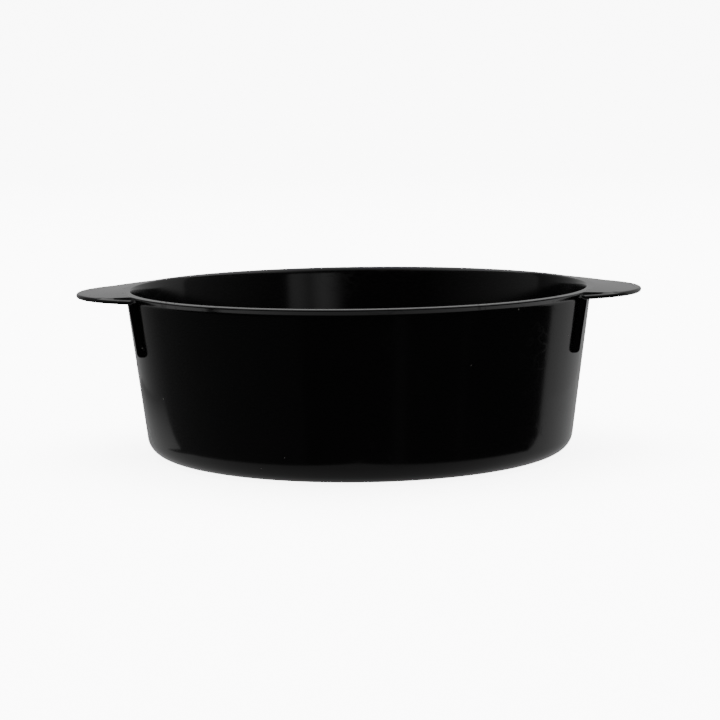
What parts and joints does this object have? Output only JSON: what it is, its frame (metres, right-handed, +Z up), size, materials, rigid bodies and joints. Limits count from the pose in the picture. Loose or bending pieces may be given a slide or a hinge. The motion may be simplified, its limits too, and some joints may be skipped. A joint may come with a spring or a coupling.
{
  "type": "hair color bowl",
  "caption": "Round black salon tint bowl with a flared rim, handle tabs on opposite sides and a soft non-slip base ring.",
  "frame": {"origin": "middle of the surface the bowl stands on, at the lowest face of the soft base ring", "axes": "+Z up along the bowl's axis, +X towards one handle tip, +Y across the handles"},
  "size_m": [0.1588, 0.1328, 0.046],
  "materials": {
    "gloss_plastic": "gloss",
    "soft_rubber": "matte"
  },
  "bodies": {
    "root": {"bowl_body": "gloss_plastic", "base_grip_ring": "soft_rubber"}
  },
  "joints": []
}
